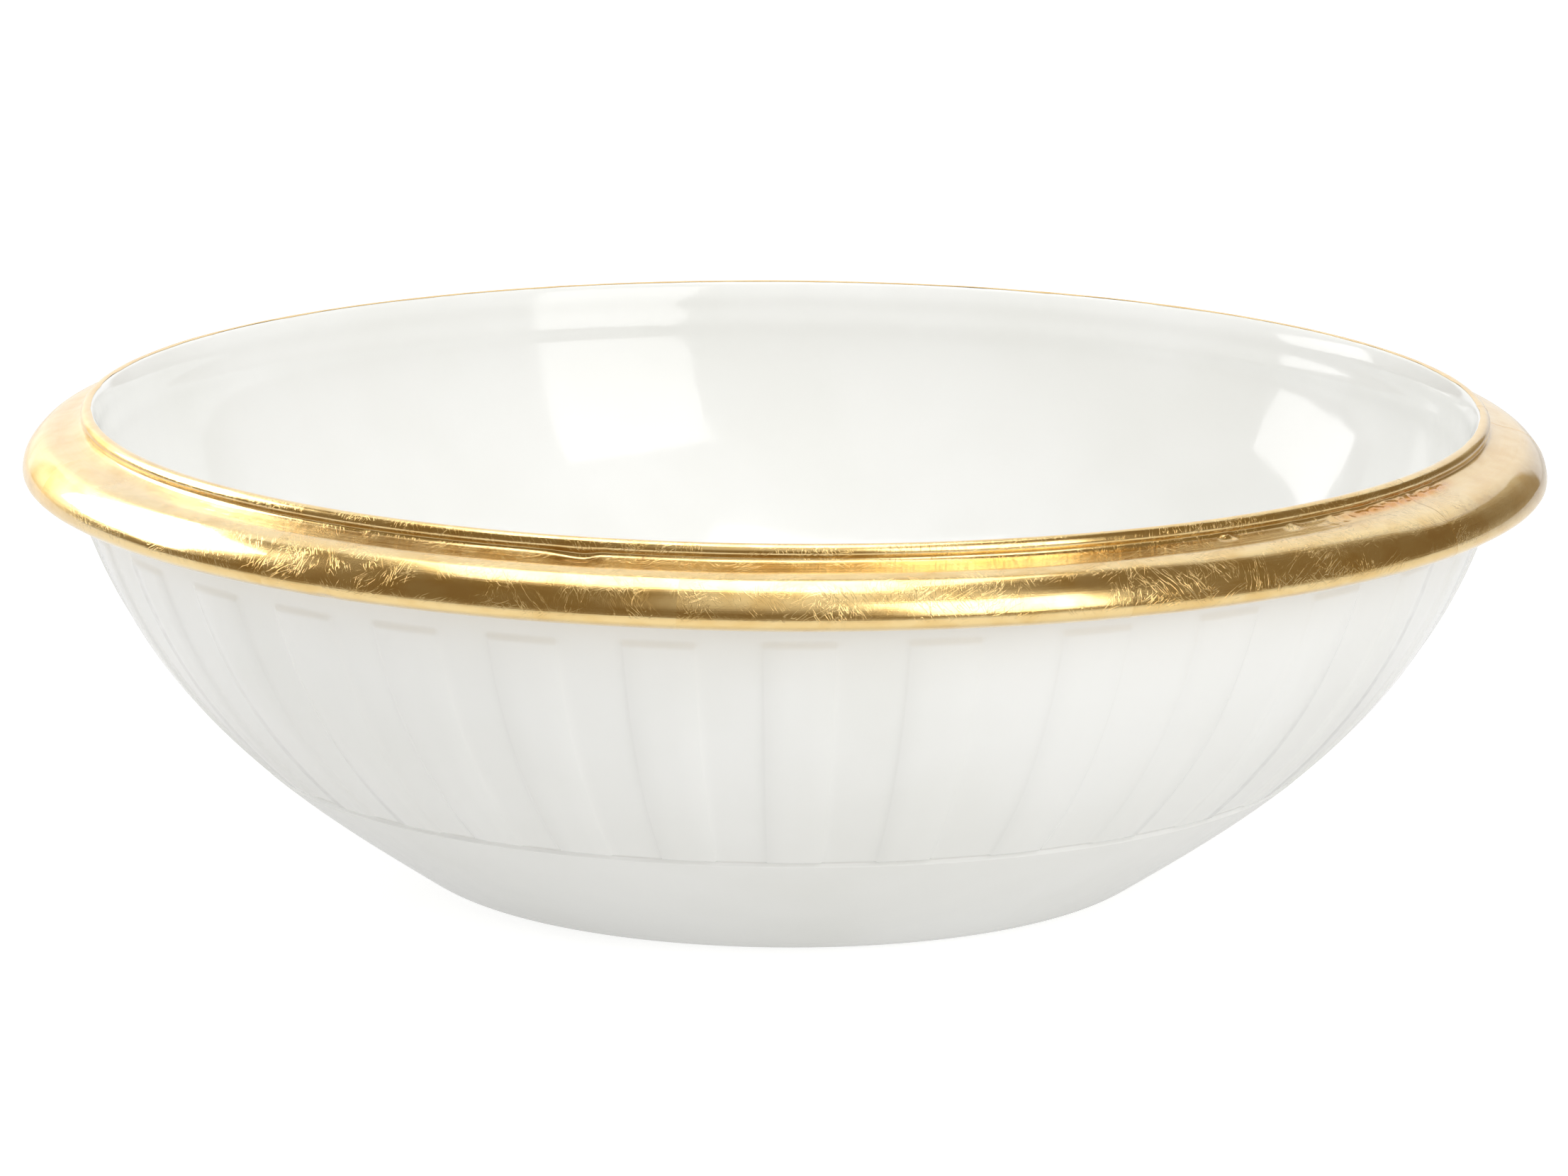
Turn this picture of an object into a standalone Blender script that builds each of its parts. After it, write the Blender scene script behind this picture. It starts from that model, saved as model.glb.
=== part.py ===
"""Porcelain serving bowl with a fluted wall and a gilded roll rim.

The bowl stands on a round foot, its axis is +Z and the origin is the centre of the foot's
resting face. It is built from the pieces that a potter and a gilder make one after another:
the glazed bowl, the foot ring and the rim roll that are luted to it, and the strips of gold
leaf that are laid round the rim edge to edge.
"""
import math

import bmesh
import bpy
from mathutils import Matrix, Vector
from mathutils.geometry import interpolate_bezier

MM = 0.001

# Overall size
RIM_RADIUS = 203.0 * MM
BOWL_HEIGHT = 127.0 * MM
LUTING_GAP = 0.3 * MM            # clearance between pieces that touch

# Wall: a heel arc, then one long curve up to the rim
HEEL_CENTRE_RADIUS = 87.6 * MM
HEEL_ARC_RADIUS = 20.9 * MM
HEEL_ANGLE = math.radians(33.6)  # slope of the wall where it leaves the heel
HEEL_HANDLE = 38.1 * MM
WALL_TOP = Vector((189.4 * MM, 105.8 * MM))
WALL_TOP_ANGLE = math.radians(73.6)
WALL_TOP_HANDLE = 57.6 * MM
WALL_THICKNESS = 5.6 * MM        # at the heel, under the flutes
RIM_THICKNESS = 9.0 * MM         # the wall thickens evenly up to the rim
FLOOR_TOP = 8.0 * MM

# Foot ring, let into a seat under the floor
FOOT_OUTER_RADIUS = 87.4 * MM
FOOT_INNER_RADIUS = 79.0 * MM
FOOT_HEIGHT = 3.0 * MM
FOOT_BEVEL = 0.8 * MM
RECESS_HEIGHT = 3.6 * MM         # underside of the floor inside the foot
RECESS_SLOPE = 2.0 * MM          # width of the slope from the recess down to the foot's seat

# Fluted band: raised lands between shallow flutes, above a plain base band
FLUTE_COUNT = 32
FLUTE_DEPTH = 0.8 * MM
# Where the front lands start, in degrees to the right of -Y, and how high they reach in mm:
# they were cut by eye, so neither is even. The hidden ones are spaced evenly.
FRONT_LANDS = (
    (-65.5, 98.3), (-54.7, 97.9), (-44.4, 98.0), (-34.3, 98.4), (-24.2, 99.0), (-13.3, 99.8),
    (-2.5, 100.4), (8.7, 100.8), (20.9, 101.2), (32.9, 101.4), (44.7, 101.5), (56.6, 101.5),
    (68.3, 101.4),
)
LAND_WIDTH = math.radians(6.5)
LAND_EDGE_WIDTH = math.radians(1.0)
BAND_TOP = 33.6 * MM             # top edge of the plain base band
BAND_GROOVE = 34.6 * MM          # line incised round the bowl above it
LAND_BOTTOM = 35.8 * MM
LAND_TOP = 101.5 * MM            # of the highest land
COLLAR_BOTTOM = 103.4 * MM
LAND_LEVEL = 0.1 * MM            # how far a land lies inside the base band's surface
ROW_TOLERANCE = 0.6 * MM         # the wall's rows lie this close to their stated heights

# Rim: the gilded surface from the lip's inner edge, over the roll, down to the wall
LIP_BEAD_RADIUS = 2.2 * MM
LIP_BEAD_CENTRE = Vector((185.4 * MM, BOWL_HEIGHT - LIP_BEAD_RADIUS))
ROLL_SEAT_TOP = 120.9 * MM       # top of the plain stretch that the roll is luted to
GILT_THICKNESS = 0.3 * MM
LEAF_COUNT = 11
LEAF_FIRST_SEAM = math.radians(-97.5)
LEAF_JOINT = 0.3 * MM            # gap between neighbouring strips, along the rim

# Segments round the axis
WALL_STEPS = FLUTE_COUNT * 4
LEAF_STEPS = 6
ROLL_STEPS = LEAF_COUNT * LEAF_STEPS
FOOT_STEPS = 64


def clear_scene():
    for old in list(bpy.data.objects):
        bpy.data.objects.remove(old, do_unlink=True)
    for old in list(bpy.data.collections):
        bpy.data.collections.remove(old)


def make_material(name, colour, roughness, metallic=0.0):
    material = bpy.data.materials.new(name)
    material.use_nodes = True
    shader = material.node_tree.nodes["Principled BSDF"]
    shader.inputs["Base Color"].default_value = (*colour, 1.0)
    shader.inputs["Roughness"].default_value = roughness
    shader.inputs["Metallic"].default_value = metallic
    return material


def arc(centre, radius, start, end, steps):
    """Points on a circle in the (radius, height) plane, angles measured from +radius."""
    angles = [start + (end - start) * i / steps for i in range(steps + 1)]
    return [centre + Vector((math.cos(a), math.sin(a))) * radius for a in angles]


def offset_outline(points, distance):
    """Moves an outline sideways, to the left of its direction of travel."""
    moved = []
    for i, point in enumerate(points):
        before = points[max(i - 1, 0)]
        after = points[min(i + 1, len(points) - 1)]
        along = (after - before).normalized()
        moved.append(point + Vector((-along.y, along.x)) * distance)
    return moved


def wall_curve(steps):
    """The long outer curve of the wall, from the heel up to the rim."""
    start = Vector((HEEL_CENTRE_RADIUS, HEEL_ARC_RADIUS))
    start += Vector((math.sin(HEEL_ANGLE), -math.cos(HEEL_ANGLE))) * HEEL_ARC_RADIUS
    handle = Vector((math.cos(HEEL_ANGLE), math.sin(HEEL_ANGLE))) * HEEL_HANDLE
    top = Vector((math.cos(WALL_TOP_ANGLE), math.sin(WALL_TOP_ANGLE))) * WALL_TOP_HANDLE
    knots = (start, start + handle, WALL_TOP - top, WALL_TOP)
    return interpolate_bezier(*knots, steps + 1)


def wall_point(height, inset=0.0):
    """The point of the outer wall at a height, moved in by inset along the wall's normal."""
    fine = offset_outline(wall_curve(240), inset)
    return min(fine, key=lambda point: abs(point.y - height))


def inner_wall(steps):
    """The inside of the wall from the rim down to the floor, without its end at the floor."""
    outer = wall_curve(steps)
    thin = offset_outline(outer, WALL_THICKNESS + FLUTE_DEPTH)
    thick = offset_outline(outer, RIM_THICKNESS + FLUTE_DEPTH)
    inner = [low.lerp(high, i / steps) for i, (low, high) in enumerate(zip(thin, thick))]
    return list(reversed(inner[1:]))


def lip_outline():
    """Gilded surface of the lip: over the bead and down its outer side to the crease."""
    bead = arc(LIP_BEAD_CENTRE, LIP_BEAD_RADIUS, math.radians(145), math.radians(-5), 5)
    waist = Vector((187.2, 123.9)) * MM
    crease = Vector((187.9, 123.2)) * MM
    return bead + [waist, crease]


def roll_outline():
    """Gilded surface of the roll: the cove, the shoulder, the nose and the underside."""
    cove = [Vector((189.0, 122.4)) * MM, Vector((191.6, 121.8)) * MM]
    shoulder = [Vector((194.6, 121.2)) * MM, Vector((197.5, 119.9)) * MM, Vector((200.3, 117.3)) * MM]
    nose = [Vector((202.3, 114.4)) * MM, Vector((RIM_RADIUS, 111.7 * MM)), Vector((202.5, 109.6)) * MM]
    underside = [Vector((200.4, 108.2)) * MM, Vector((197.4, 107.4)) * MM, Vector((193.6, 106.9)) * MM]
    contact = wall_point(106.0 * MM, FLUTE_DEPTH)
    return cove + shoulder + nose + underside + [Vector((contact.x + 0.7 * MM, 106.6 * MM))]


def screw_object(name, outline, steps, closed, material, collection):
    """Turns an outline in the (radius, height) plane into an object of revolution about Z."""
    mesh = bpy.data.meshes.new(name)
    shape = bmesh.new()
    verts = [shape.verts.new((point.x, 0.0, point.y)) for point in outline]
    for first, second in zip(verts, verts[1:]):
        shape.edges.new((first, second))
    if closed:
        shape.edges.new((verts[-1], verts[0]))
    shape.to_mesh(mesh)
    shape.free()
    piece = bpy.data.objects.new(name, mesh)
    collection.objects.link(piece)
    piece.data.materials.append(material)
    screw = piece.modifiers.new("turn", "SCREW")
    screw.axis = "Z"
    screw.steps = steps
    screw.render_steps = steps
    screw.use_merge_vertices = True
    screw.merge_threshold = 0.00005
    screw.use_smooth_shade = True
    return piece


def bake_modifiers(piece):
    """Replaces an object's mesh with the mesh that its modifiers make."""
    graph = bpy.context.evaluated_depsgraph_get()
    mesh = bpy.data.meshes.new_from_object(piece.evaluated_get(graph))
    piece.modifiers.clear()
    piece.data = mesh


def bowl_outline():
    """Section of the bowl from the middle of its underside, out, up, over the lip and in."""
    foot_seat = FOOT_HEIGHT + LUTING_GAP
    seat_outer = FOOT_OUTER_RADIUS + LUTING_GAP
    seat_inner = FOOT_INNER_RADIUS - LUTING_GAP
    under = [
        Vector((0.0, RECESS_HEIGHT)),
        Vector((seat_inner - RECESS_SLOPE, RECESS_HEIGHT)),
        Vector((seat_inner, foot_seat)),
        Vector((seat_outer, foot_seat)),
    ]
    heel_centre = Vector((HEEL_CENTRE_RADIUS, HEEL_ARC_RADIUS))
    heel_start = math.radians(-84)
    heel = arc(heel_centre, HEEL_ARC_RADIUS, heel_start, HEEL_ANGLE - math.pi / 2, 3)
    band = [wall_point(height) for height in (13.0 * MM, 23.5 * MM, BAND_TOP)]
    groove = [wall_point(BAND_GROOVE, FLUTE_DEPTH * 1.3)]
    rows = 5
    flutes = [LAND_BOTTOM + (LAND_TOP - LAND_BOTTOM) * i / rows for i in range(rows + 1)]
    wall = [wall_point(height, FLUTE_DEPTH) for height in flutes + [COLLAR_BOTTOM]]
    roll_seat = Vector((WALL_TOP.x - FLUTE_DEPTH, WALL_TOP.y))
    behind_roll = [roll_seat, Vector((roll_seat.x, ROLL_SEAT_TOP))]
    depth = GILT_THICKNESS + LUTING_GAP
    lip = list(reversed(offset_outline(lip_outline(), -depth)))
    sweep = [Vector((99.0, 13.1)) * MM, Vector((87.0, 9.3)) * MM]
    floor = [Vector((72.0 * MM, FLOOR_TOP)), Vector((0.0, FLOOR_TOP))]
    return under + heel + band + groove + wall + behind_roll + lip + inner_wall(7) + sweep + floor


def all_lands():
    """Start angle and top height of every land, counted round from the first front one."""
    lands = [(math.radians(start - 90), top * MM) for start, top in FRONT_LANDS]
    first, last = lands[0], lands[-1]
    hidden = FLUTE_COUNT - len(lands)
    for i in range(1, hidden + 1):
        part = i / (hidden + 1)
        start = last[0] + (first[0] + math.tau - last[0]) * part
        lands.append((start, last[1] + (first[1] - last[1]) * part))
    return lands


def warp_angle(angle, lands):
    """Moves the evenly spaced columns of the wall onto the edges of the lands."""
    pitches, column = divmod(round(angle * WALL_STEPS / math.tau), 4)
    start, top = lands[pitches % FLUTE_COUNT]
    edges = (0.0, LAND_EDGE_WIDTH, LAND_WIDTH, LAND_WIDTH + LAND_EDGE_WIDTH)
    return start + edges[column], column in (1, 2), top


def carve_flutes(piece):
    """Sets the columns of the turned wall on the land edges and raises the lands."""
    shape = bmesh.new()
    shape.from_mesh(piece.data)
    shape.normal_update()
    raised = []
    lands = all_lands()
    for vert in shape.verts:
        radius = math.hypot(vert.co.x, vert.co.y)
        if radius < 0.1 * MM:
            continue
        angle, on_land, top = warp_angle(math.atan2(vert.co.y, vert.co.x), lands)
        outward = vert.normal.x * vert.co.x + vert.normal.y * vert.co.y > 0
        if on_land and outward and LAND_BOTTOM - ROW_TOLERANCE < vert.co.z < LAND_TOP + ROW_TOLERANCE:
            raised.append(vert)
            if abs(vert.co.z - LAND_TOP) < ROW_TOLERANCE:
                radius -= (vert.co.z - top) / math.tan(WALL_TOP_ANGLE)
                vert.co.z = top
        vert.co.x = radius * math.cos(angle)
        vert.co.y = radius * math.sin(angle)
    shape.normal_update()
    for vert in raised:
        vert.co += vert.normal * (FLUTE_DEPTH - LAND_LEVEL)
    shape.to_mesh(piece.data)
    shape.free()


def make_bowl(collection):
    glaze = make_material("glazed_porcelain", (0.86, 0.86, 0.83), 0.12)
    bowl = screw_object("bowl_shell", list(reversed(bowl_outline())), WALL_STEPS, False, glaze, collection)
    bake_modifiers(bowl)
    carve_flutes(bowl)
    bowl.data.set_sharp_from_angle(angle=math.radians(50))


def make_foot(collection):
    biscuit = make_material("biscuit_porcelain", (0.80, 0.77, 0.71), 0.75)
    outline = [
        Vector((FOOT_INNER_RADIUS, FOOT_HEIGHT)),
        Vector((FOOT_INNER_RADIUS, FOOT_BEVEL)),
        Vector((FOOT_INNER_RADIUS + FOOT_BEVEL, 0.0)),
        Vector((FOOT_OUTER_RADIUS - FOOT_BEVEL, 0.0)),
        Vector((FOOT_OUTER_RADIUS, FOOT_BEVEL)),
        Vector((FOOT_OUTER_RADIUS, FOOT_HEIGHT)),
    ]
    foot = screw_object("foot_ring", list(reversed(outline)), FOOT_STEPS, True, biscuit, collection)
    bake_modifiers(foot)
    foot.data.set_sharp_from_angle(angle=math.radians(30))


def make_roll(collection):
    """The porcelain core of the rim roll, under the gilding."""
    body = make_material("rim_porcelain", (0.84, 0.83, 0.79), 0.4)
    surface = offset_outline(roll_outline(), -(GILT_THICKNESS + LUTING_GAP))
    seat = WALL_TOP.x - FLUTE_DEPTH + 0.5 * MM
    top = [Vector((seat, surface[1].y))]
    bottom = [Vector((seat, surface[-1].y + 0.3 * MM))]
    roll = screw_object("rim_roll", top + surface[1:-1] + bottom, ROLL_STEPS, True, body, collection)
    bake_modifiers(roll)
    roll.data.transform(rotation_about_z(LEAF_FIRST_SEAM))
    roll.data.set_sharp_from_angle(angle=math.radians(60))


def rotation_about_z(angle):
    return Matrix.Rotation(angle, 4, "Z")


def make_leaves(collection):
    """Strips of gold leaf laid edge to edge round the rim, from inside the lip to the wall."""
    gold = make_material("leaf_gold", (0.83, 0.60, 0.22), 0.25, 1.0)
    pitch = math.tau / LEAF_COUNT
    joint = LEAF_JOINT / RIM_RADIUS
    outline = lip_outline() + roll_outline()
    for number in range(LEAF_COUNT):
        name = f"gilding_leaf_{number + 1:02d}"
        leaf = screw_object(name, outline, LEAF_STEPS, False, gold, collection)
        leaf.modifiers["turn"].angle = pitch - joint
        thickness = leaf.modifiers.new("leaf", "SOLIDIFY")
        thickness.thickness = GILT_THICKNESS
        thickness.offset = -1.0
        bake_modifiers(leaf)
        leaf.data.transform(rotation_about_z(LEAF_FIRST_SEAM + number * pitch + joint / 2))


def main():
    clear_scene()
    collection = bpy.data.collections.new("porcelain_serving_bowl")
    bpy.context.scene.collection.children.link(collection)
    make_bowl(collection)
    make_foot(collection)
    make_roll(collection)
    make_leaves(collection)


main()
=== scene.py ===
import math

import bmesh
import bpy
from mathutils import Matrix, Quaternion, Vector, noise
from mathutils.geometry import interpolate_bezier


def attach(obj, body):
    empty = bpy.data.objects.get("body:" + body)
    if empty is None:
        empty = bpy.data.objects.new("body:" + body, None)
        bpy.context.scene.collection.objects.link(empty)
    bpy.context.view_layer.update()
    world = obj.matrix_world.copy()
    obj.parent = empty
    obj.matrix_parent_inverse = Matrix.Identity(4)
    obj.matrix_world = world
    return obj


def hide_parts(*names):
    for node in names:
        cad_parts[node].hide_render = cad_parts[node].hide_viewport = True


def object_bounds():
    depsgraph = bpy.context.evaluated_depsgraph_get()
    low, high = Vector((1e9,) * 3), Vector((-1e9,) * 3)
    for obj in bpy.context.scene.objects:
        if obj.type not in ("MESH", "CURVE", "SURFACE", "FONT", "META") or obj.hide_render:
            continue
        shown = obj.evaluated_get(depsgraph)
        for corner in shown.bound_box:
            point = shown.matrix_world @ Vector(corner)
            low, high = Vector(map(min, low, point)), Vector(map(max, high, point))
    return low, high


# Porcelain serving bowl: a glazed fluted body, a biscuit foot and a roll rim under gold leaf.
# Lengths are in millimetres in the settings and in metres in the meshes.

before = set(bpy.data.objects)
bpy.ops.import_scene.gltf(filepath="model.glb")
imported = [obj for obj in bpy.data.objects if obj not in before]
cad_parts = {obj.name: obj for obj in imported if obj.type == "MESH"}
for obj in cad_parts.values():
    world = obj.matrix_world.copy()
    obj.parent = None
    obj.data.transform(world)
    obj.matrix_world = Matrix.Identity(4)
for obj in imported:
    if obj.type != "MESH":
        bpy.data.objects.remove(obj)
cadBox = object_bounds()
mm = 0.001
rimRadius = cadBox[1].x / mm
bowlHeight = cadBox[1].z / mm
print("frame loaded, rim radius", round(rimRadius, 1), "mm, height", round(bowlHeight, 1), "mm")


# small helpers

def srgb(code):
    # hex colour to the linear values that Blender's sockets take
    parts = [int(code[i:i + 2], 16) / 255 for i in (1, 3, 5)]
    return [p / 12.92 if p <= 0.04045 else ((p + 0.055) / 1.055) ** 2.4 for p in parts] + [1.0]


def addNode(tree, kind, inputs, output=0, **settings):
    # one node, its settings and what goes into it: a socket is linked, anything else is a value
    node = tree.nodes.new(kind)
    for name, value in settings.items():
        setattr(node, name, value)
    for name, value in inputs.items():
        if isinstance(value, bpy.types.NodeSocket):
            tree.links.new(value, node.inputs[name])
        else:
            node.inputs[name].default_value = value
    return node.outputs[output] if node.outputs else node


def newMaterial(name):
    material = bpy.data.materials.new(name)
    material.use_nodes = True
    return material, material.node_tree, material.node_tree.nodes["Principled BSDF"]


def smoothStep(low, high, value):
    t = min(max((value - low) / (high - low), 0.0), 1.0)
    return t * t * (3 - 2 * t)


def arcPoints(centre, radius, start, end, steps):
    angles = [math.radians(start + (end - start) * i / steps) for i in range(steps + 1)]
    return [Vector(centre) + Vector((math.cos(a), math.sin(a))) * radius for a in angles]


def curveThrough(points, steps):
    # a smooth line through given points, the way a potter's template is drawn
    pts = [Vector(p) for p in points]
    line = [pts[0]]
    for i in range(len(pts) - 1):
        before, after = pts[max(i - 1, 0)], pts[min(i + 2, len(pts) - 1)]
        a, b = pts[i] + (pts[i + 1] - before) / 6, pts[i + 1] - (after - pts[i]) / 6
        line += interpolate_bezier(pts[i], a, b, pts[i + 1], steps + 1)[1:]
    return line


def leftNormals(line):
    normals = []
    for i in range(len(line)):
        along = (line[min(i + 1, len(line) - 1)] - line[max(i - 1, 0)]).normalized()
        normals.append(Vector((-along.y, along.x)))
    return normals


def turn(line, columns, start=0.0, sweep=360.0):
    # spins a section round the bowl's axis; the layer "row" keeps each vertex's place along the section
    bm = bmesh.new()
    row = bm.verts.layers.int.new("row")
    verts = [bm.verts.new((p.x * mm, 0.0, p.y * mm)) for p in line]
    for i, v in enumerate(verts):
        v[row] = i
    edges = [bm.edges.new(pair) for pair in zip(verts, verts[1:])]
    full = sweep > 359.9
    bmesh.ops.rotate(bm, verts=verts, cent=(0, 0, 0), matrix=Matrix.Rotation(math.radians(start), 3, "Z"))
    bmesh.ops.spin(bm, geom=verts + edges, cent=(0, 0, 0), axis=(0, 0, 1), angle=math.radians(sweep),
                   steps=columns, use_merge=full)
    bmesh.ops.remove_doubles(bm, verts=bm.verts, dist=0.01 * mm)
    return bm


def finishPiece(bm, name, material, node=None, sharp=None):
    mesh = bpy.data.meshes.new(name)
    for face in bm.faces:
        face.smooth = True
    bm.to_mesh(mesh)
    bm.free()
    piece = bpy.data.objects.new(name, mesh)
    bpy.context.scene.collection.objects.link(piece)
    mesh.materials.append(material)
    if sharp:
        mesh.set_sharp_from_angle(angle=math.radians(sharp))
    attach(piece, "root")
    if node:
        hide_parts(node)
    return piece


# camera

def makeCamera():
    # a long lens a little above the rim, turned a hair off level
    settings = dict(place=(0.0, -2.4008, 0.5871), down=12.01, roll=0.43, lens=210.4, sensor=36.0)
    camera = bpy.data.cameras.new("camera")
    camera.lens = settings["lens"]
    camera.sensor_width = settings["sensor"]
    camera.sensor_fit = "HORIZONTAL"
    holder = bpy.data.objects.new("camera", camera)
    bpy.context.scene.collection.objects.link(holder)
    holder.location = settings["place"]
    tilt = Quaternion((1, 0, 0), math.radians(90 - settings["down"]))
    holder.rotation_mode = "QUATERNION"
    holder.rotation_quaternion = tilt @ Quaternion((0, 0, 1), math.radians(settings["roll"]))
    bpy.context.scene.camera = holder


makeCamera()


# the bowl's body

bowl = dict(
    # the outside: heel, band, flutes and lands up to the roll
    heelCentre=(87.6, 20.9), heelRadius=20.9, heelStart=-84.0, heelSlope=33.6, heelHandle=38.1, heelRows=9,
    wallTop=(189.4, 105.8), wallTopSlope=73.6, wallTopHandle=57.6, searchRows=1200,
    flutes=32, fluteDepth=0.8, landLevel=0.12, landWidth=6.5, landEdge=1.0, fluteHollow=0.04,
    ledge=(33.75, 34.2), groove=34.4, grooveDepth=0.12, grooveWidth=0.4, landBottom=35.4, landRamp=2.3,
    # the stretch that the gilding covers: behind the roll, under the bead's neck, inside the bead
    seatHeights=(107.0, 120.9), underNeck=((186.6, 123.5), (186.9, 124.6)),
    crownSunk=0.6, crownStart=-10.0, crownShort=25.0, crownRows=5,
    # the inside: lip, shallow throwing rings below it, wall and floor
    lipHandle=1.6, lipWallHandle=(1.4, 9.0), lipRows=20, ringDepth=0.10, ringFrom=106.0, ringTurn=0.82,
    ringFade=(126.0, 122.0), wallThickness=5.6, rimThickness=9.0, innerRows=44,
    floorCurve=((87.0, 9.3), (74.0, 8.15), (55.0, 8.0)), floorFlat=((28.0, 8.0), (0.0, 8.0)),
    # the underside out to the foot's seat
    underside=((0.0, 3.6), (40.0, 3.6), (76.1, 3.6), (77.1, 3.52), (78.7, 3.3), (87.5, 3.3), (87.7, 3.2)),
)
# the front lands: where each starts, in degrees to the right of the front, and its top in mm
frontLands = (
    (-65.5, 98.3), (-54.7, 97.9), (-44.4, 98.0), (-34.3, 98.4), (-24.2, 99.0), (-13.3, 99.8), (-2.5, 100.4),
    (8.7, 100.8), (20.9, 101.2), (32.9, 101.4), (44.7, 101.5), (56.6, 101.5), (68.3, 101.4),
)
# columns from one land's start: degrees over the land, then shares of the flute that is left
landColumns = (0.0, 0.30, 0.55, 0.76, 0.93, 1.08, 2.9, 4.6, 6.42, 6.57, 6.74, 6.95, 7.2, 7.5)
fluteShares = (0.33, 0.67)
# rows up the outer wall: from and to in mm, how many; closer at the band's ledge and at the lands' tops
wallStops = ((3.6, 33.3, 12), (33.65, 34.7, 12), (34.95, 36.2, 5), (37.6, 96.8, 22), (97.6, 104.4, 19),
             (105.1, 105.8, 2))


def polar(length, degrees):
    return Vector((math.cos(math.radians(degrees)), math.sin(math.radians(degrees)))) * length


def outerWall(steps):
    slope = bowl["heelSlope"]
    start = Vector(bowl["heelCentre"]) + polar(bowl["heelRadius"], slope - 90)
    top = Vector(bowl["wallTop"])
    knots = (start, start + polar(bowl["heelHandle"], slope),
             top - polar(bowl["wallTopHandle"], bowl["wallTopSlope"]), top)
    return interpolate_bezier(*knots, steps + 1)


def insideLine():
    # from the lip down the inside of the wall to the middle of the floor; the wall thins as it goes down
    outer = outerWall(bowl["innerRows"])
    normals = leftNormals(outer)
    last = len(outer) - 1
    thinnest = bowl["fluteDepth"] + bowl["wallThickness"]
    gain = bowl["rimThickness"] - bowl["wallThickness"]
    depths = [thinnest + gain * i / last for i in range(last + 1)]
    wall = [p + n * d for p, n, d in zip(outer, normals, depths)][::-1]
    lip = Vector(lipBead["centre"]) + polar(lipBead["radius"] - leafSkin["sunk"], lipBead["start"])
    overLip = lip + polar(bowl["lipHandle"], lipBead["start"] + 90)
    overWall = wall[0] + Vector(bowl["lipWallHandle"])
    top = interpolate_bezier(lip, overLip, overWall, wall[0], bowl["lipRows"] + 1)
    for p in top:
        ring = math.sin((p.y - bowl["ringFrom"]) * bowl["ringTurn"])
        p.x -= bowl["ringDepth"] * ring * smoothStep(*bowl["ringFade"], p.y)
    floor = curveThrough([wall[-3], *bowl["floorCurve"]], 6)[1:]
    return top + wall[1:-2] + floor + [Vector(p) for p in bowl["floorFlat"]]


def underLine():
    # from the middle of the underside out to the foot's seat and round the heel
    heel = arcPoints(bowl["heelCentre"], bowl["heelRadius"], bowl["heelStart"], bowl["heelSlope"] - 90,
                     bowl["heelRows"])
    return [Vector(p) for p in bowl["underside"]] + heel


def allLands():
    # start, top and pitch of every land round from the first front one; the hidden ones are spaced evenly
    first, last = frontLands[0], frontLands[-1]
    hidden = bowl["flutes"] - len(frontLands)
    lands = list(frontLands)
    for i in range(1, hidden + 1):
        part = i / (hidden + 1)
        lands.append((last[0] + (first[0] + 360 - last[0]) * part, last[1] + (first[1] - last[1]) * part))
    starts = [start for start, top in lands] + [first[0] + 360]
    return [(start, top, starts[i + 1] - start) for i, (start, top) in enumerate(lands)]


def relief(offset, pitch, top, height):
    # how far the glaze lies inside the plain band's surface, in mm, offset degrees on from a land's start
    edge, width = bowl["landEdge"], bowl["landWidth"]
    rise = min(max(min(offset / edge, (width + edge - offset) / edge), 0.0), 1.0)
    raised = 1 - math.sqrt(max(1 - rise * rise, 0.0))        # a cove from the flute up to the land's edge
    across = (offset - width - edge) / (pitch - width - edge)
    hollow = bowl["fluteHollow"] * max(1 - (2 * across - 1) ** 2, 0.0) if across > 0 else 0.0
    reach = smoothStep(bowl["ledge"][1], bowl["landBottom"], height)
    reach *= 1 - smoothStep(top, top + bowl["landRamp"], height)
    groove = bowl["grooveDepth"] * math.exp(-((height - bowl["groove"]) / bowl["grooveWidth"]) ** 2)
    fluted = bowl["fluteDepth"] + (hollow - (bowl["fluteDepth"] - bowl["landLevel"]) * raised) * reach
    return smoothStep(*bowl["ledge"], height) * fluted + groove


def wallRows():
    # each row's point on the outer wall and the way out from the surface there
    fine = outerWall(bowl["searchRows"])
    last = len(fine) - 1
    heights = [low + (high - low) * i / (n - 1) for low, high, n in wallStops for i in range(n)]
    rows = []
    for height in heights:
        i = min(range(last + 1), key=lambda k: abs(fine[k].y - height))
        along = (fine[min(i + 1, last)] - fine[max(i - 1, 0)]).normalized()
        rows.append((fine[i], Vector((along.y, -along.x))))
    return rows


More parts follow.
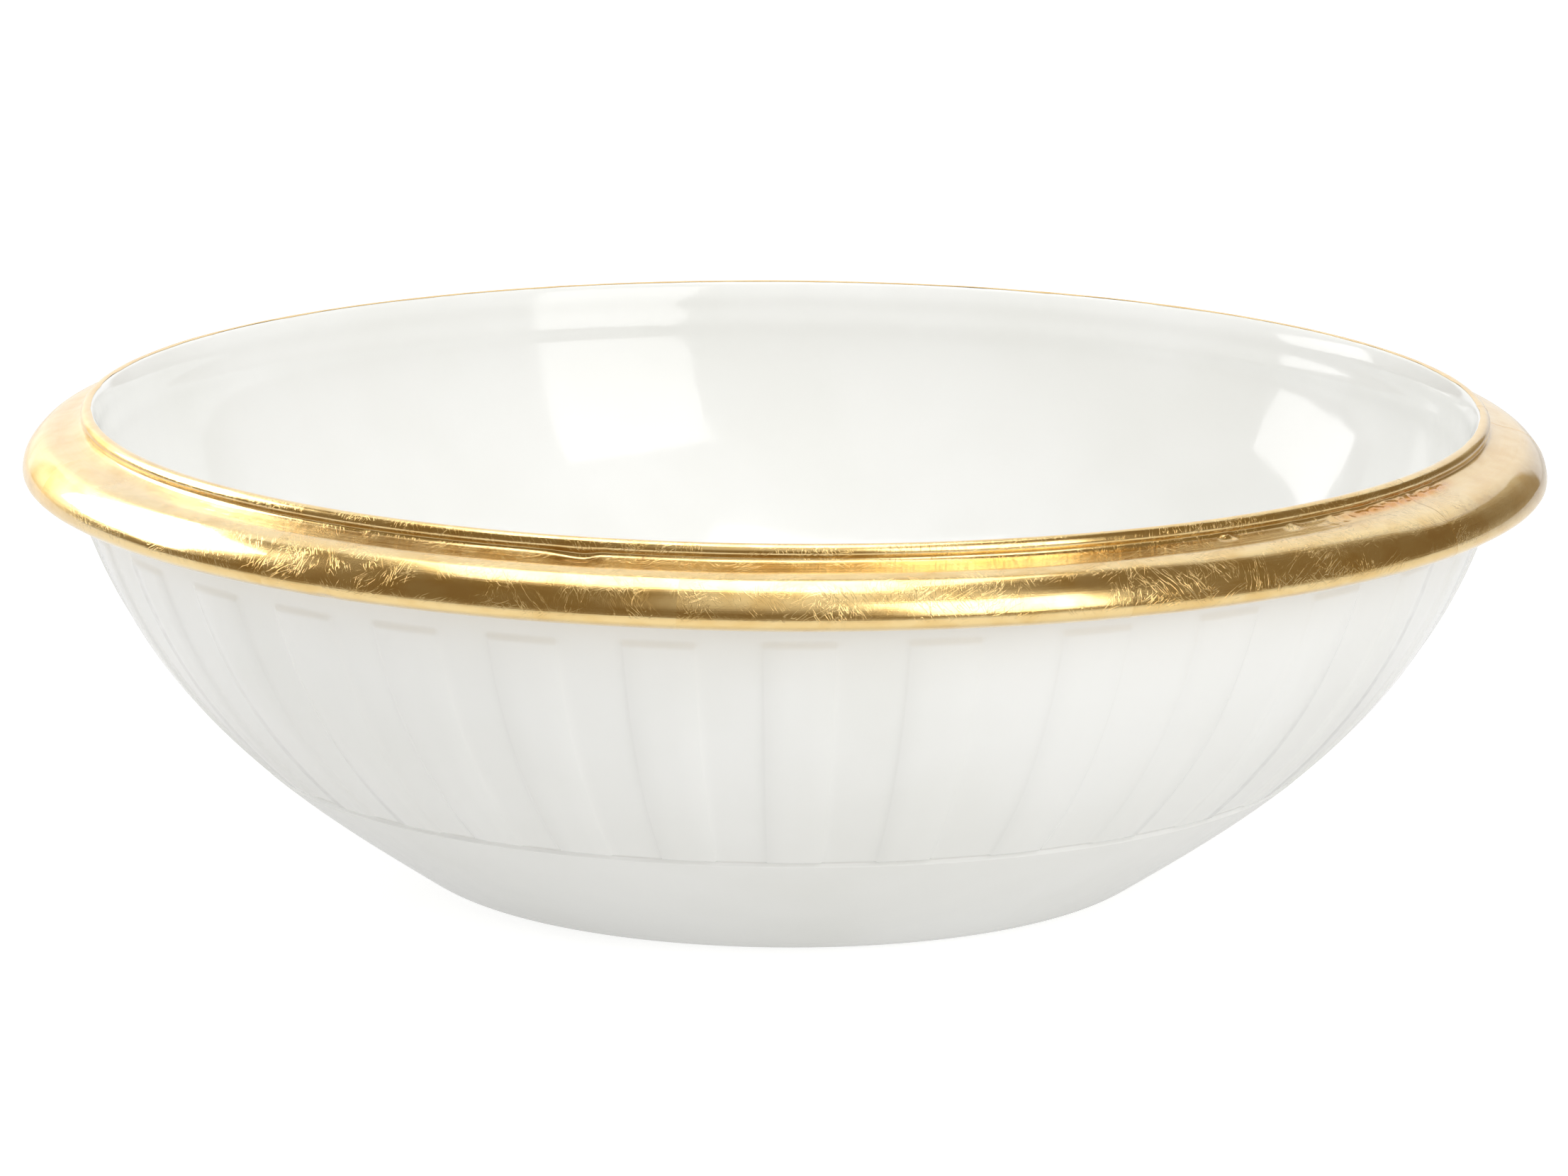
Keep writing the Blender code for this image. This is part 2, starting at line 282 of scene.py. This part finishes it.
def makeBody():
    print("bowl body")
    under, rows = underLine(), wallRows()
    seatRadius = bowl["wallTop"][0] - bowl["fluteDepth"]
    hidden = [(seatRadius, height) for height in bowl["seatHeights"]] + list(bowl["underNeck"])
    crown = arcPoints(lipBead["centre"], lipBead["radius"] - bowl["crownSunk"], bowl["crownStart"],
                      lipBead["start"] - bowl["crownShort"], bowl["crownRows"])
    line = under + [p for p, n in rows] + [Vector(p) for p in hidden] + crown + insideLine()
    perLand = len(landColumns) + len(fluteShares)
    columns = perLand * bowl["flutes"]
    lands = allLands()
    landSpan = bowl["landWidth"] + bowl["landEdge"]
    bm = turn(line, columns)
    row = bm.verts.layers.int["row"]
    # painted shade: how far the band's groove is greyed, as if in shadow, set where the relief is deepest
    grooveShade = bm.verts.layers.float.new("grooveShade")
    for v in bm.verts:
        radius = math.hypot(v.co.x, v.co.y)
        if radius < 0.1 * mm:
            continue
        column = round(math.degrees(math.atan2(v.co.y, v.co.x)) % 360 / 360 * columns) % columns
        number, step = divmod(column, perLand)
        start, top, pitch = lands[number]
        if step < len(landColumns):
            offset = landColumns[step]
        else:
            offset = landSpan + (pitch - landSpan) * fluteShares[step - len(landColumns)]
        index = v[row] - len(under)
        height = v.co.z
        if 0 <= index < len(rows):
            depth = relief(offset, pitch, top, height / mm)
            outward = rows[index][1]
            radius -= depth * outward.x * mm
            height -= depth * outward.y * mm
            v[grooveShade] = smoothStep(*glaze["shadeDepth"], depth)
        moved = polar(radius, start + offset - 90)
        v.co = (moved.x, moved.y, height)
    bmesh.ops.recalc_face_normals(bm, faces=bm.faces)
    return finishPiece(bm, "bowl_body", glazedPorcelain(), "bowl_shell")


# the glaze: scales per metre, bump depth in metres, the depth in mm past which painted shade greys it
glaze = dict(
    body="#F4F4F1", drift="#F0F0EC", shadedGrey="#E4E2DE", speck="#8C7A66", cloudScale=18.0, cloudRange=(0.4, 0.65),
    shadeDepth=(0.86, 0.93), speckScale=26.0, speckRange=(0.0075, 0.005), speckShows=0.55,
    rippleScale=45.0, peelScale=420.0, peelShare=0.05, bumpDepth=0.00016, roughness=(0.05, 0.11), ior=1.45,
)


def glazedPorcelain():
    # cast porcelain under a clear gloss glaze: cool white, a sharp mirror where it is seen aslant, its
    # reflections a little wavy, a painted shade of grey in the band's groove, a few iron specks
    material, tree, shader = newMaterial("glazedPorcelain")
    place = addNode(tree, "ShaderNodeTexCoord", {}, "Object")
    cloud = addNode(tree, "ShaderNodeTexNoise", {"Vector": place, "Scale": glaze["cloudScale"], "Detail": 2.0})
    low, high = glaze["cloudRange"]
    drifting = addNode(tree, "ShaderNodeMapRange", {"Value": cloud, "From Min": low, "From Max": high})
    # painted shade: the grey mixed in here stands in for the shadow in the band's groove
    grooveShade = addNode(tree, "ShaderNodeAttribute", {}, "Fac", attribute_name="grooveShade")
    cells = addNode(tree, "ShaderNodeTexVoronoi", {"Vector": place, "Scale": glaze["speckScale"]})
    low, high = glaze["speckRange"]
    specks = addNode(tree, "ShaderNodeMapRange", {"Value": cells, "From Min": low, "From Max": high,
                                                  "To Max": glaze["speckShows"]})
    colour = srgb(glaze["body"])
    for mask, shade in ((drifting, "drift"), (grooveShade, "shadedGrey"), (specks, "speck")):
        colour = addNode(tree, "ShaderNodeMix", {0: mask, 6: colour, 7: srgb(glaze[shade])}, 2, data_type="RGBA")
    tree.links.new(colour, shader.inputs["Base Color"])
    ripple = addNode(tree, "ShaderNodeTexNoise", {"Vector": place, "Scale": glaze["rippleScale"], "Detail": 1.0})
    peel = addNode(tree, "ShaderNodeTexNoise", {"Vector": place, "Scale": glaze["peelScale"], "Detail": 2.0})
    both = addNode(tree, "ShaderNodeMath", {0: peel, 1: glaze["peelShare"], 2: ripple}, operation="MULTIPLY_ADD")
    bump = addNode(tree, "ShaderNodeBump", {"Height": both, "Strength": 1.0, "Distance": glaze["bumpDepth"]})
    tree.links.new(bump, shader.inputs["Normal"])
    low, high = glaze["roughness"]
    rough = addNode(tree, "ShaderNodeMapRange", {"Value": peel, "From Min": 0.3, "From Max": 0.7,
                                                 "To Min": low, "To Max": high})
    tree.links.new(rough, shader.inputs["Roughness"])
    shader.inputs["IOR"].default_value = glaze["ior"]
    return material


# the foot ring

foot = dict(inner=79.0, outer=87.4, height=3.0, edge=0.7, edgeRows=5, columns=180)


def makeFoot():
    print("foot ring")
    inner, outer, edge, height = foot["inner"], foot["outer"], foot["edge"], foot["height"]
    line = [Vector((inner, height))] + arcPoints((inner + edge, edge), edge, 180, 270, foot["edgeRows"])
    line += arcPoints((outer - edge, edge), edge, 270, 360, foot["edgeRows"]) + [Vector((outer, height))]
    bm = turn(line, foot["columns"])
    bmesh.ops.bridge_loops(bm, edges=[e for e in bm.edges if e.is_boundary])
    bmesh.ops.recalc_face_normals(bm, faces=bm.faces)
    return finishPiece(bm, "foot_ring_turned", biscuitPorcelain(), "foot_ring", 35)


biscuit = dict(body="#E7E0D4", rubbed="#CFC5B6", gritScale=900.0, rubScale=70.0, rubRange=(0.45, 0.7),
               bumpDepth=0.00008, bumpStrength=0.6, roughness=(0.62, 0.82))


def biscuitPorcelain():
    # fired porcelain with no glaze, rubbed smooth: dry, warm off-white, fine grit and a few ash-grey rubs
    material, tree, shader = newMaterial("biscuitPorcelain")
    place = addNode(tree, "ShaderNodeTexCoord", {}, "Object")
    grit = addNode(tree, "ShaderNodeTexNoise", {"Vector": place, "Scale": biscuit["gritScale"], "Detail": 3.0})
    rubs = addNode(tree, "ShaderNodeTexNoise", {"Vector": place, "Scale": biscuit["rubScale"], "Detail": 4.0})
    low, high = biscuit["rubRange"]
    mask = addNode(tree, "ShaderNodeMapRange", {"Value": rubs, "From Min": low, "From Max": high})
    colour = addNode(tree, "ShaderNodeMix", {0: mask, 6: srgb(biscuit["body"]), 7: srgb(biscuit["rubbed"])}, 2,
                     data_type="RGBA")
    tree.links.new(colour, shader.inputs["Base Color"])
    bump = addNode(tree, "ShaderNodeBump", {"Height": grit, "Strength": biscuit["bumpStrength"],
                                            "Distance": biscuit["bumpDepth"]})
    tree.links.new(bump, shader.inputs["Normal"])
    low, high = biscuit["roughness"]
    rough = addNode(tree, "ShaderNodeMapRange", {"Value": rubs, "To Min": low, "To Max": high})
    tree.links.new(rough, shader.inputs["Roughness"])
    return material


# the gilded rim

lipBead = dict(centre=(185.4, bowlHeight - 2.2), radius=2.2, start=108.0, end=-4.0, rows=20)
leafSkin = dict(count=11, firstSeam=-97.5, columns=84, thickness=0.12, sunk=0.14, lap=0.03, lapWidth=0.6)
# section of the gilding under the bead; the roll's points count inwards from the rim's radius
rimSection = dict(
    neck=((187.5, 124.2), (187.3, 123.55), (187.8, 122.9), (188.7, 122.4), (190.2, 121.83), (191.8, 121.4)),
    cove=((194.6, 120.75), (197.5, 119.6), (200.25, 117.2), (202.25, 114.2)),
    roll=((0.0, 111.3), (0.45, 109.45), (2.5, 108.1), (5.6, 107.4), (9.4, 106.95)),
    hem=((190.6, 106.8), (189.1, 106.45), (188.62, 105.6)), neckRows=4, rollRows=7, hemRows=5,
)
# the modeller's and the gilder's hand: degrees to the right of the front, all else in mm;
# along is the way over the gilding from the lip's inner edge
marks = dict(
    wander=((0.10, 38.0), (0.05, 13.0), (0.016, 4.5)),       # height and length
    steadyStart=2.0, steadyEnd=(3.0, 0.8),
    neckRadius=187.3, neckAlong=7.2, neckWidth=1.7,
    # nodules: degrees, width, height; lumps: from, to, height; kink: degrees, width, drop
    nodules=((36.1, 1.3, 0.75), (42.8, 1.4, 0.45)), noduleAlong=6.6, noduleWidth=1.1,
    lumps=(47.0, 66.0, 0.42), lumpBase=0.5, lumpGrain=((1.3, 2.4), (0.6, 1.2)),
    kink=(-15.3, 7.0, 0.8), kinkAlong=6.8, kinkWidth=2.2, kinkBack=0.4,
    # dents: degrees, along, width, depth
    dents=((-34.7, 30.0, 2.6, 0.32), (12.3, 35.5, 1.0, 0.35), (-52.0, 24.0, 9.0, 0.12)),
    goldEdge=0.30, edgeGrain=((1.0, 0.0, 9.0), (0.5, 4.0, 30.0)), edgeReach=(4.0, 3.0),
    amberFrom=(45.0, 52.0), amberTo=(62.0, 68.0), amberAlong=7.6, amberWidth=1.6, dullFrom=(56.0, 76.0),
)


def bellOf(value, middle, width):
    return math.exp(-((value - middle) / width) ** 2)


def gildedLine():
    # section of the gilded surface: up the lip's inside, over the bead, down its neck, the cove and the roll
    bead = arcPoints(lipBead["centre"], lipBead["radius"], lipBead["start"], lipBead["end"], lipBead["rows"])
    neck = curveThrough([bead[-1], *rimSection["neck"]], rimSection["neckRows"])
    roll = [(rimRadius - inwards, height) for inwards, height in rimSection["roll"]]
    cove = curveThrough([neck[-1], *rimSection["cove"], *roll], rimSection["rollRows"])
    hem = curveThrough([cove[-1], *rimSection["hem"]], rimSection["hemRows"])
    return bead + neck[1:] + cove[1:] + hem[1:]


def rimShift(theta, along, total):
    # how far the hand-modelled rim strays from the turned one along its normal, in mm
    ring = Vector((math.cos(math.radians(theta)), math.sin(math.radians(theta)), 0)) * rimRadius
    point = ring + Vector((0, 0, along))
    shift = sum(high * noise.noise(point / length) for high, length in marks["wander"])
    for place, width, high in marks["nodules"]:
        off = math.radians(theta - place) * marks["neckRadius"]
        shift += high * bellOf(off, 0, width) * bellOf(along, marks["noduleAlong"], marks["noduleWidth"])
    start, end, high = marks["lumps"]
    inLumps = smoothStep(start - 2, start + 2, theta) * (1 - smoothStep(end - 4, end, theta))
    lumpy = marks["lumpBase"] + sum(share * noise.noise(point / length) for share, length in marks["lumpGrain"])
    shift += high * inLumps * bellOf(along, marks["neckAlong"], marks["neckWidth"]) * lumpy
    for place, at, width, deep in marks["dents"]:
        off = math.radians(theta - place) * rimRadius
        shift -= deep * bellOf(off, 0, width) * bellOf(along, at, width * 0.7)
    fromEnd, atEnd = marks["steadyEnd"]
    steady = smoothStep(0, marks["steadyStart"], along) * (1 - smoothStep(total - fromEnd, total - atEnd, along))
    return shift * steady


def kinkDrop(theta, along):
    # how far the modeller's tool pushed the crease under the bead down, in mm
    place, width, deep = marks["kink"]
    off = math.radians(theta - place) * marks["neckRadius"]
    across = bellOf(off, 0, width if off < 0 else width * marks["kinkBack"])
    return deep * across * bellOf(along, marks["kinkAlong"], marks["kinkWidth"])


def edgeSlide(degrees, along, total):
    # how far the gold's hand-cut edges wander to and fro along the section, in mm
    edge = 0.0
    for share, level, grain in marks["edgeGrain"]:
        ring = Vector((math.cos(math.radians(degrees)), math.sin(math.radians(degrees)), level))
        edge += share * noise.noise(ring * grain)
    inner, outer = marks["edgeReach"]
    return marks["goldEdge"] * edge * (smoothStep(inner, 0, along) + smoothStep(total - outer, total, along))


def makeLeaves():
    line = gildedLine()
    normals = leftNormals(line)
    lengths = [0.0]
    for a, b in zip(line, line[1:]):
        lengths.append(lengths[-1] + (b - a).length)
    total = lengths[-1]
    gold = goldLeaf()
    leaves = []
    pitch = 360 / leafSkin["count"]
    for number in range(leafSkin["count"]):
        name = f"gold_leaf_{number + 1:02d}"
        print(name)
        start = leafSkin["firstSeam"] + number * pitch
        bm = turn(line, leafSkin["columns"], start, pitch)
        row = bm.verts.layers.int["row"]
        tone, amber, dull = [bm.verts.layers.float.new(layer) for layer in ("tone", "amber", "dull")]
        flat = bm.loops.layers.uv.new("leafUv")
        seats = {}
        for v in bm.verts:
            i = v[row]
            along = lengths[i]
            degrees = math.degrees(math.atan2(v.co.y, v.co.x))
            degrees = start + (degrees - start + 1) % 360 - 1
            theta = (degrees + 90 + 180) % 360 - 180
            shift = rimShift(theta, along, total)
            fromSeam = math.radians(degrees - start) * rimRadius
            shift += leafSkin["lap"] * smoothStep(leafSkin["lapWidth"], 0.0, fromSeam)
            onward = Vector((normals[i].y, -normals[i].x))
            moved = line[i] + normals[i] * shift + onward * edgeSlide(degrees, along, total)
            moved.y -= kinkDrop(theta, along)
            out = polar(moved.x * mm, degrees)
            v.co = (out.x, out.y, moved.y * mm)
            v[tone] = number
            lumpy = smoothStep(*marks["amberFrom"], theta) * (1 - smoothStep(*marks["amberTo"], theta))
            v[amber] = lumpy * bellOf(along, marks["amberAlong"], marks["amberWidth"])
            v[dull] = smoothStep(*marks["dullFrom"], abs(theta))
            seats[v] = (math.radians(degrees) * rimRadius * mm, along * mm)
        for face in bm.faces:
            for loop in face.loops:
                loop[flat].uv = seats[loop.vert]
        bmesh.ops.recalc_face_normals(bm, faces=bm.faces)
        outward = sum(f.normal.z * f.calc_area() for f in bm.faces)
        if outward < 0:
            bmesh.ops.reverse_faces(bm, faces=bm.faces)
        whole = bm.verts[:] + bm.edges[:] + bm.faces[:]
        bmesh.ops.solidify(bm, geom=whole, thickness=leafSkin["thickness"] * mm)
        leaves.append(finishPiece(bm, name, gold, f"gilding_leaf_{number + 1:02d}", 40))
    return leaves


# the gold: colours, heights in mm, and roughness where the brush wore it, where it gathered, at the dull ends
gilt = dict(
    gold="#F6D898", deep="#E8BE6E", size="#DE9C48", sizeShows=0.45, softHeight=0.025, brushHeight=0.017,
    wideBrushHeight=0.016, crumpleHeight=(0.014, 0.008), hairHeight=(0.020, 0.014), hairHalf=0.022,
    hairRange=(0.46, 0.60), gatheredRange=(0.42, 0.70), patchRange=(0.42, 0.66), patchShows=0.6,
    worn=(0.22, 0.15), gatheredRough=0.06, dullRough=0.26, leafStep=3.7, varnish=0.9, varnishRough=0.04,
)
# noises stretched to long by wide mm and turned: angle, long, wide, detail, distortion, seed
leafPatterns = dict(
    hairs1=(28, 8, 1.6, 2.5, 0.9, 1.0), hairs2=(-52, 7, 1.5, 2.5, 0.9, 2.0), hairs3=(78, 6, 1.4, 2.5, 0.9, 3.0),
    where1=(0, 14, 9, 1, 0.3, 11.0), where2=(0, 12, 9, 1, 0.3, 12.0), where3=(0, 13, 8, 1, 0.3, 13.0),
    gathered=(0, 60, 24, 1, 0.2, 21.0), crumple=(20, 2.2, 1.0, 4, 0.6, 31.0), brush=(0, 60, 0.38, 3, 0.1, 41.0),
    wideBrush=(1.5, 90, 1.5, 2, 0.1, 45.0), soft=(0, 16, 7, 2, 0.2, 51.0), patch=(0, 11, 6, 3, 0.3, 61.0),
)


def goldLeaf():
    # 23 carat leaf laid by hand on size and varnished: bright gold, hairline wrinkles and crumples where the
    # leaf gathered, brush lines from smoothing it along the rim, a clear skin of varnish over all
    material, tree, shader = newMaterial("goldLeafVarnished")
    uv = addNode(tree, "ShaderNodeUVMap", {}, uv_map="leafUv")
    tone, amber, dull = [addNode(tree, "ShaderNodeAttribute", {}, "Fac", attribute_name=layer)
                         for layer in ("tone", "amber", "dull")]
    drawn = {}
    for name, (angle, long, wide, detail, distortion, seed) in leafPatterns.items():
        spun = addNode(tree, "ShaderNodeMapping", {"Vector": uv, "Rotation": (0, 0, math.radians(angle))})
        scale = (1 / (long * mm), 1 / (wide * mm), 1)
        sized = addNode(tree, "ShaderNodeMapping", {"Vector": spun, "Scale": scale})
        leaf = addNode(tree, "ShaderNodeMath", {0: tone, 1: gilt["leafStep"], 2: seed}, operation="MULTIPLY_ADD")
        drawn[name] = addNode(tree, "ShaderNodeTexNoise", {"Vector": sized, "W": leaf, "Scale": 1.0,
                                                           "Detail": detail, "Distortion": distortion},
                              noise_dimensions="4D")
    low, high = gilt["gatheredRange"]
    gathered = addNode(tree, "ShaderNodeMapRange", {"Value": drawn["gathered"], "From Min": low,
                                                    "From Max": high})

    # hairline wrinkles, drawn wider than real ones so that they show
    hairs = 0.0
    low, high = gilt["hairRange"]
    for name in ("1", "2", "3"):
        off = addNode(tree, "ShaderNodeMath", {0: drawn["hairs" + name], 1: 0.5}, operation="SUBTRACT")
        off = addNode(tree, "ShaderNodeMath", {0: off}, operation="ABSOLUTE")
        ridge = addNode(tree, "ShaderNodeMapRange", {"Value": off, "From Min": gilt["hairHalf"], "From Max": 0.0})
        here = addNode(tree, "ShaderNodeMapRange", {"Value": drawn["where" + name], "From Min": low,
                                                    "From Max": high})
        one = addNode(tree, "ShaderNodeMath", {0: ridge, 1: here}, operation="MULTIPLY")
        hairs = addNode(tree, "ShaderNodeMath", {0: hairs, 1: one}, operation="MAXIMUM")

    # heights in mm, added one on another; the varnish follows the softest only
    height = addNode(tree, "ShaderNodeMath", {0: drawn["soft"], 1: gilt["softHeight"]}, operation="MULTIPLY")
    gentle = addNode(tree, "ShaderNodeBump", {"Height": height, "Strength": 1.0, "Distance": mm})
    tree.links.new(gentle, shader.inputs["Coat Normal"])
    crumple, hair = [addNode(tree, "ShaderNodeMath", {0: gathered, 1: more, 2: least}, operation="MULTIPLY_ADD")
                     for more, least in (gilt["crumpleHeight"], gilt["hairHeight"])]
    for pattern, share in ((drawn["crumple"], crumple), (drawn["brush"], gilt["brushHeight"]),
                           (drawn["wideBrush"], gilt["wideBrushHeight"]), (hairs, hair)):
        height = addNode(tree, "ShaderNodeMath", {0: pattern, 1: share, 2: height}, operation="MULTIPLY_ADD")
    bump = addNode(tree, "ShaderNodeBump", {"Height": height, "Strength": 1.0, "Distance": mm})
    tree.links.new(bump, shader.inputs["Normal"])

    low, high = gilt["patchRange"]
    patch = addNode(tree, "ShaderNodeMapRange", {"Value": drawn["patch"], "From Min": low, "From Max": high,
                                                 "To Max": gilt["patchShows"]})
    colour = srgb(gilt["gold"])
    for mask, shade in ((patch, "deep"), (amber, "size")):
        colour = addNode(tree, "ShaderNodeMix", {0: mask, 6: colour, 7: srgb(gilt[shade])}, 2, data_type="RGBA")
    tree.links.new(colour, shader.inputs["Base Color"])
    bare = addNode(tree, "ShaderNodeMath", {0: amber, 1: -gilt["sizeShows"], 2: 1.0}, operation="MULTIPLY_ADD")
    tree.links.new(bare, shader.inputs["Metallic"])
    low, high = gilt["worn"]
    rough = addNode(tree, "ShaderNodeMapRange", {"Value": drawn["brush"], "From Min": 0.3, "From Max": 0.7,
                                                 "To Min": low, "To Max": high})
    for mask, more in ((gathered, "gatheredRough"), (dull, "dullRough")):
        rough = addNode(tree, "ShaderNodeMath", {0: mask, 1: gilt[more], 2: rough}, operation="MULTIPLY_ADD")
    tree.links.new(rough, shader.inputs["Roughness"])
    shader.inputs["Coat Weight"].default_value = gilt["varnish"]
    shader.inputs["Coat Roughness"].default_value = gilt["varnishRough"]
    shader.inputs["Coat IOR"].default_value = 1.5
    return material


underGilding = dict(fired="#E9DFC6", size="#D8B25C", brushScale=160.0, brushRange=(0.4, 0.6),
                    roughness=(0.3, 0.6))


def rimPorcelain():
    # the roll's own body, hidden under the leaf: fired porcelain brushed with yellow gilder's size
    material, tree, shader = newMaterial("rimPorcelainSized")
    place = addNode(tree, "ShaderNodeTexCoord", {}, "Object")
    brushed = addNode(tree, "ShaderNodeTexNoise", {"Vector": place, "Scale": underGilding["brushScale"],
                                                   "Detail": 3.0})
    low, high = underGilding["brushRange"]
    mask = addNode(tree, "ShaderNodeMapRange", {"Value": brushed, "From Min": low, "From Max": high})
    colour = addNode(tree, "ShaderNodeMix", {0: mask, 6: srgb(underGilding["fired"]),
                                             7: srgb(underGilding["size"])}, 2, data_type="RGBA")
    tree.links.new(colour, shader.inputs["Base Color"])
    low, high = underGilding["roughness"]
    rough = addNode(tree, "ShaderNodeMapRange", {"Value": brushed, "To Min": low, "To Max": high})
    tree.links.new(rough, shader.inputs["Roughness"])
    return material


# the studio

rimMiddle = (0, 0, 0.11)
# soft boxes: middle and the point each faces in metres, width and height, watts, turn in degrees
softBoxes = dict(
    overhead=((-0.20, 0.06, 1.60), (-0.20, 0.06, 0), (1.20, 1.06), 11.5, -14),
    left=((-1.70, 0.72, 0.59), rimMiddle, (0.80, 0.44), 3.6, 0),
    right=((0.97, -1.49, 1.02), rimMiddle, (0.95, 1.35), 12.5, 0),
    sheen=((-1.52, 0.76, 0.92), rimMiddle, (1.25, 1.05), 18, 0),
)
table = dict(halfWidth=1.6, front=-1.5, back=2.1, colour="#CBCBCA", roughness=0.9, specular=0.2,
             glowSeen=0.66, glow=0.33)
# what the bowl is lit by and what it mirrors: a white sweep behind, a pale wall ahead, a dim warm room
# round the rest; angles in degrees, heights as the share of the way up to overhead
surround = dict(
    room=(0.20, 0.145, 0.075, 1), sweep=(1.0, 1.0, 1.0, 1), wall=(1.0, 0.96, 0.88, 1),
    sweepHalf=(25, 50), sweepHeights=(0.25, 0.45), sweepEdge=0.05, sweepTop=(0.86, 0.80),
    wallMiddle=16, wallHalf=(45, 28), wallHeights=(0.3, 0.95), sky=(0.41, 0.50), skyAside=0.17, seen=1.05,
)


def makeLight(name, place, aim, size, power, spin):
    lamp = bpy.data.lights.new(name, "AREA")
    lamp.shape = "RECTANGLE"
    lamp.size, lamp.size_y = size
    lamp.energy = power
    holder = bpy.data.objects.new(name, lamp)
    bpy.context.scene.collection.objects.link(holder)
    holder.location = place
    facing = (Vector(place) - Vector(aim)).to_track_quat("Z", "Y")
    holder.rotation_euler = (facing @ Quaternion((0, 0, 1), math.radians(spin))).to_euler()
    return holder


def makeFloor():
    # a pale table top that runs from under the camera back into the sweep, lit to white where it is seen
    bm = bmesh.new()
    bmesh.ops.create_grid(bm, x_segments=1, y_segments=1, size=1.0)
    half = (table["back"] - table["front"]) / 2
    bmesh.ops.scale(bm, vec=(table["halfWidth"], half, 1), verts=bm.verts)
    bmesh.ops.translate(bm, vec=(0, table["front"] + half, 0), verts=bm.verts)
    mesh = bpy.data.meshes.new("floor")
    bm.to_mesh(mesh)
    bm.free()
    floor = bpy.data.objects.new("floor", mesh)
    bpy.context.scene.collection.objects.link(floor)
    material, tree, shader = newMaterial("paleFloor")
    shader.inputs["Base Color"].default_value = srgb(table["colour"])
    shader.inputs["Roughness"].default_value = table["roughness"]
    shader.inputs["Specular IOR Level"].default_value = table["specular"]
    shader.inputs["Emission Color"].default_value = (1, 1, 1, 1)
    camera = addNode(tree, "ShaderNodeLightPath", {}, "Is Camera Ray")
    glow = addNode(tree, "ShaderNodeMapRange", {"Value": camera, "To Min": table["glow"],
                                                "To Max": table["glowSeen"]})
    tree.links.new(glow, shader.inputs["Emission Strength"])
    mesh.materials.append(material)


def makeWorld():
    world = bpy.data.worlds.new("studio")
    bpy.context.scene.world = world
    world.use_nodes = True
    tree = world.node_tree
    tree.nodes.clear()
    way = addNode(tree, "ShaderNodeTexCoord", {}, "Generated")
    axes = addNode(tree, "ShaderNodeSeparateXYZ", {0: way}).node.outputs

    # the sweep widens with height and stops short of overhead
    side = addNode(tree, "ShaderNodeMath", {0: axes["X"], 1: axes["Y"]}, operation="ARCTAN2")
    side = addNode(tree, "ShaderNodeMath", {0: side}, operation="ABSOLUTE")
    (narrow, broad), (low, high) = surround["sweepHalf"], surround["sweepHeights"]
    width = addNode(tree, "ShaderNodeMapRange", {"Value": axes["Z"], "From Min": low, "From Max": high,
                                                 "To Min": math.radians(narrow), "To Max": math.radians(broad)})
    near = addNode(tree, "ShaderNodeMath", {0: width, 1: side}, operation="SUBTRACT")
    near = addNode(tree, "ShaderNodeMapRange", {"Value": near, "From Min": 0.0,
                                                "From Max": surround["sweepEdge"]})
    off, full = surround["sweepTop"]
    under = addNode(tree, "ShaderNodeMapRange", {"Value": axes["Z"], "From Min": off, "From Max": full})
    behind = addNode(tree, "ShaderNodeMath", {0: near, 1: under}, operation="MULTIPLY")

    # the wall ahead fades sideways and brightens with height
    front = addNode(tree, "ShaderNodeMath", {0: axes["Y"], 1: -1.0}, operation="MULTIPLY")
    front = addNode(tree, "ShaderNodeMath", {0: axes["X"], 1: front}, operation="ARCTAN2")
    middle = math.radians(surround["wallMiddle"])
    front = addNode(tree, "ShaderNodeMath", {0: front, 1: middle}, operation="SUBTRACT")
    front = addNode(tree, "ShaderNodeMath", {0: front}, operation="ABSOLUTE")
    off, full = [math.radians(angle) for angle in surround["wallHalf"]]
    facing = addNode(tree, "ShaderNodeMapRange", {"Value": front, "From Min": off, "From Max": full})
    low, high = surround["wallHeights"]
    lift = addNode(tree, "ShaderNodeMapRange", {"Value": axes["Z"], "From Min": low, "From Max": high})
    ahead = addNode(tree, "ShaderNodeMath", {0: facing, 1: lift}, operation="MULTIPLY")

    mirrored = surround["room"]
    for mask, tone in ((behind, "sweep"), (ahead, "wall")):
        mirrored = addNode(tree, "ShaderNodeMix", {0: mask, 6: mirrored, 7: surround[tone]}, 2, data_type="RGBA")
    low, high = surround["sky"]
    sky = addNode(tree, "ShaderNodeMapRange", {"Value": axes["Z"], "To Min": low, "To Max": high})
    aside = addNode(tree, "ShaderNodeMath", {0: axes["X"]}, operation="ABSOLUTE")
    sky = addNode(tree, "ShaderNodeMath", {0: aside, 1: surround["skyAside"], 2: sky}, operation="MULTIPLY_ADD")
    white = (1, 1, 1, 1)
    mirrored, spread, seen = [
        addNode(tree, "ShaderNodeBackground", {"Color": colour, "Strength": strength})
        for colour, strength in ((mirrored, 1.0), (white, sky), (white, surround["seen"]))
    ]
    rays = addNode(tree, "ShaderNodeLightPath", {}).node.outputs
    unseen = addNode(tree, "ShaderNodeMixShader", {0: rays["Is Glossy Ray"], 1: spread, 2: mirrored})
    last = addNode(tree, "ShaderNodeMixShader", {0: rays["Is Camera Ray"], 1: unseen, 2: seen})
    addNode(tree, "ShaderNodeOutputWorld", {0: last})


makeBody()
makeFoot()
leaves = makeLeaves()
print("rim roll")
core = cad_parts["rim_roll"].data.materials
core.clear()
core.append(rimPorcelain())

print("studio")
makeFloor()
makeWorld()
lights = {name: makeLight(name, *values) for name, values in softBoxes.items()}
# the sheen reaches the gold only
gilding = bpy.data.collections.new("gilding")
for piece in leaves:
    gilding.objects.link(piece)
lights["sheen"].light_linking.receiver_collection = gilding
bpy.context.scene.view_settings.view_transform = "Standard"
